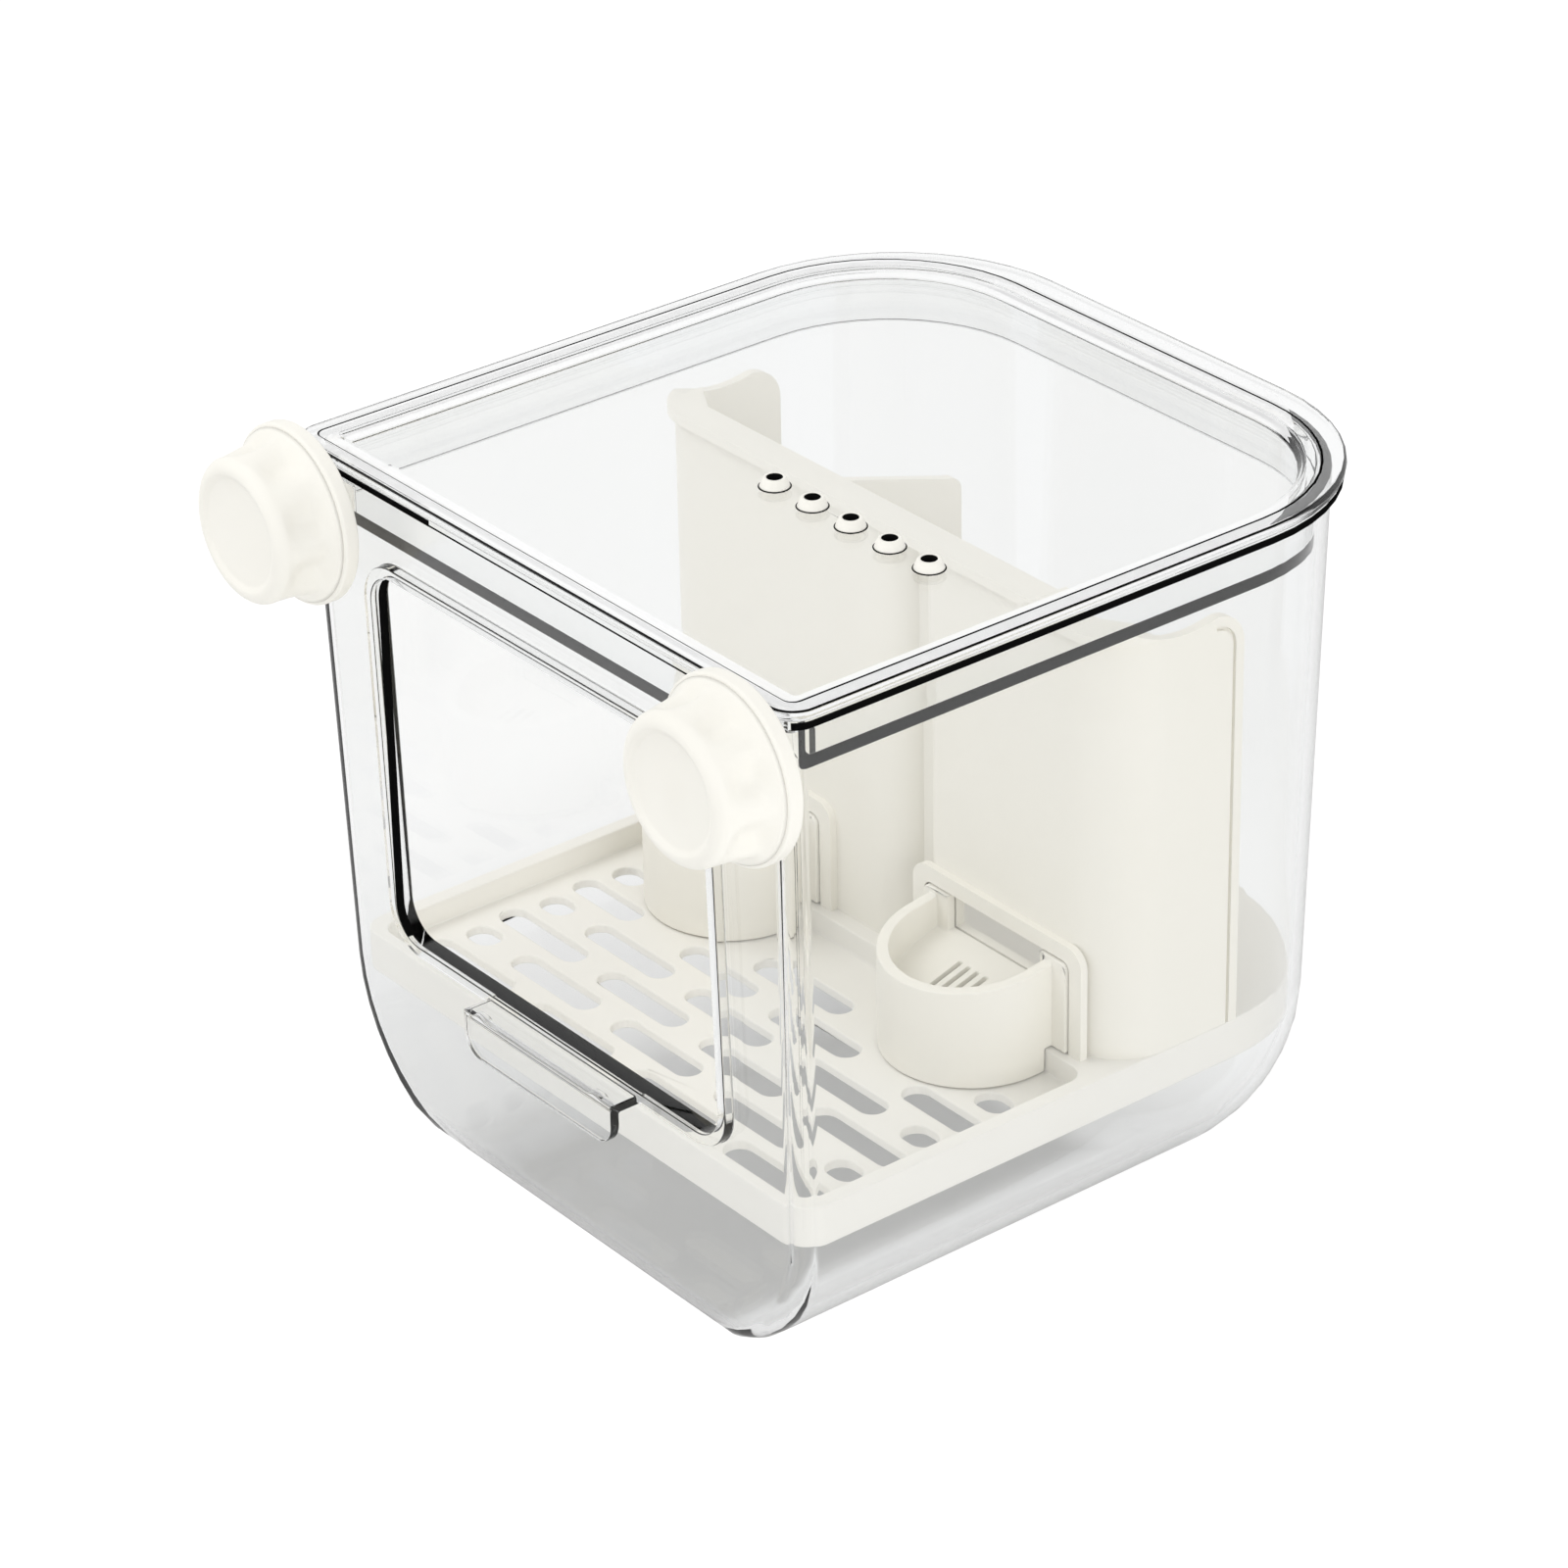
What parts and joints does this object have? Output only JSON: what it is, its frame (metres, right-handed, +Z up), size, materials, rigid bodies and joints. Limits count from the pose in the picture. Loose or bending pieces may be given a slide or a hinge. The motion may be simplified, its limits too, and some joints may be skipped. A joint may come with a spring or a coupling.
{
  "type": "bird cage feeder",
  "caption": "Clear hang-on bird cage feeder with a lift-off lid, perforated tray, seed hopper with pull-out cups, a hook tab and clamp nuts for cage wires.",
  "frame": {"origin": "on the underside of the base, under the middle of the tub's width and depth", "axes": "+X to the feeder's right seen from the cage side, +Y from the front opening to the rear wall, +Z up"},
  "size_m": [0.1688, 0.1753, 0.1547],
  "materials": {
    "clear": "clear polished plastic",
    "cream": "cream moulded plastic, fine satin",
    "white": "off-white moulded plastic, satin"
  },
  "bodies": {
    "tub": {"tub": "clear", "tray": "cream", "hopper": "cream", "left_stud": "white", "right_stud": "white"},
    "lid": {"lid": "clear"},
    "left_cup": {"left_cup": "cream"},
    "right_cup": {"right_cup": "cream"},
    "left_clamp_plate": {"left_clamp_plate": "white"},
    "right_clamp_plate": {"right_clamp_plate": "white"},
    "left_knob": {"left_knob": "white"},
    "right_knob": {"right_knob": "white"}
  },
  "joints": [
    {"name": "lid_lift", "type": "slide", "parent": "tub", "child": "lid", "axis": [0, 0, 1], "range_m": [0, 0.15]},
    {"name": "left_cup_pull", "type": "slide", "parent": "tub", "child": "left_cup", "axis": [0, -1, 0], "range_m": [0, 0.04]},
    {"name": "right_cup_pull", "type": "slide", "parent": "tub", "child": "right_cup", "axis": [0, -1, 0], "range_m": [0, 0.04]},
    {"name": "left_plate_slide", "type": "slide", "parent": "tub", "child": "left_clamp_plate", "axis": [0, 1, 0], "range_m": [-0.003, 0.0025]},
    {"name": "left_nut_turn", "type": "hinge", "parent": "left_clamp_plate", "child": "left_knob", "pos_m": [-0.0663, -0.0838, 0.1366], "axis": [0, 1, 0], "range_deg": [-362, 302]},
    {"name": "right_plate_slide", "type": "slide", "parent": "tub", "child": "right_clamp_plate", "axis": [0, 1, 0], "range_m": [-0.003, 0.0025]},
    {"name": "right_nut_turn", "type": "hinge", "parent": "right_clamp_plate", "child": "right_knob", "pos_m": [0.0663, -0.0838, 0.1366], "axis": [0, 1, 0], "range_deg": [-362, 302]}
  ],
  "couplings": [
    {"joint": "left_nut_turn", "follows": "left_plate_slide", "rad_per_m": 2094.4},
    {"joint": "right_nut_turn", "follows": "right_plate_slide", "rad_per_m": 2094.4}
  ]
}
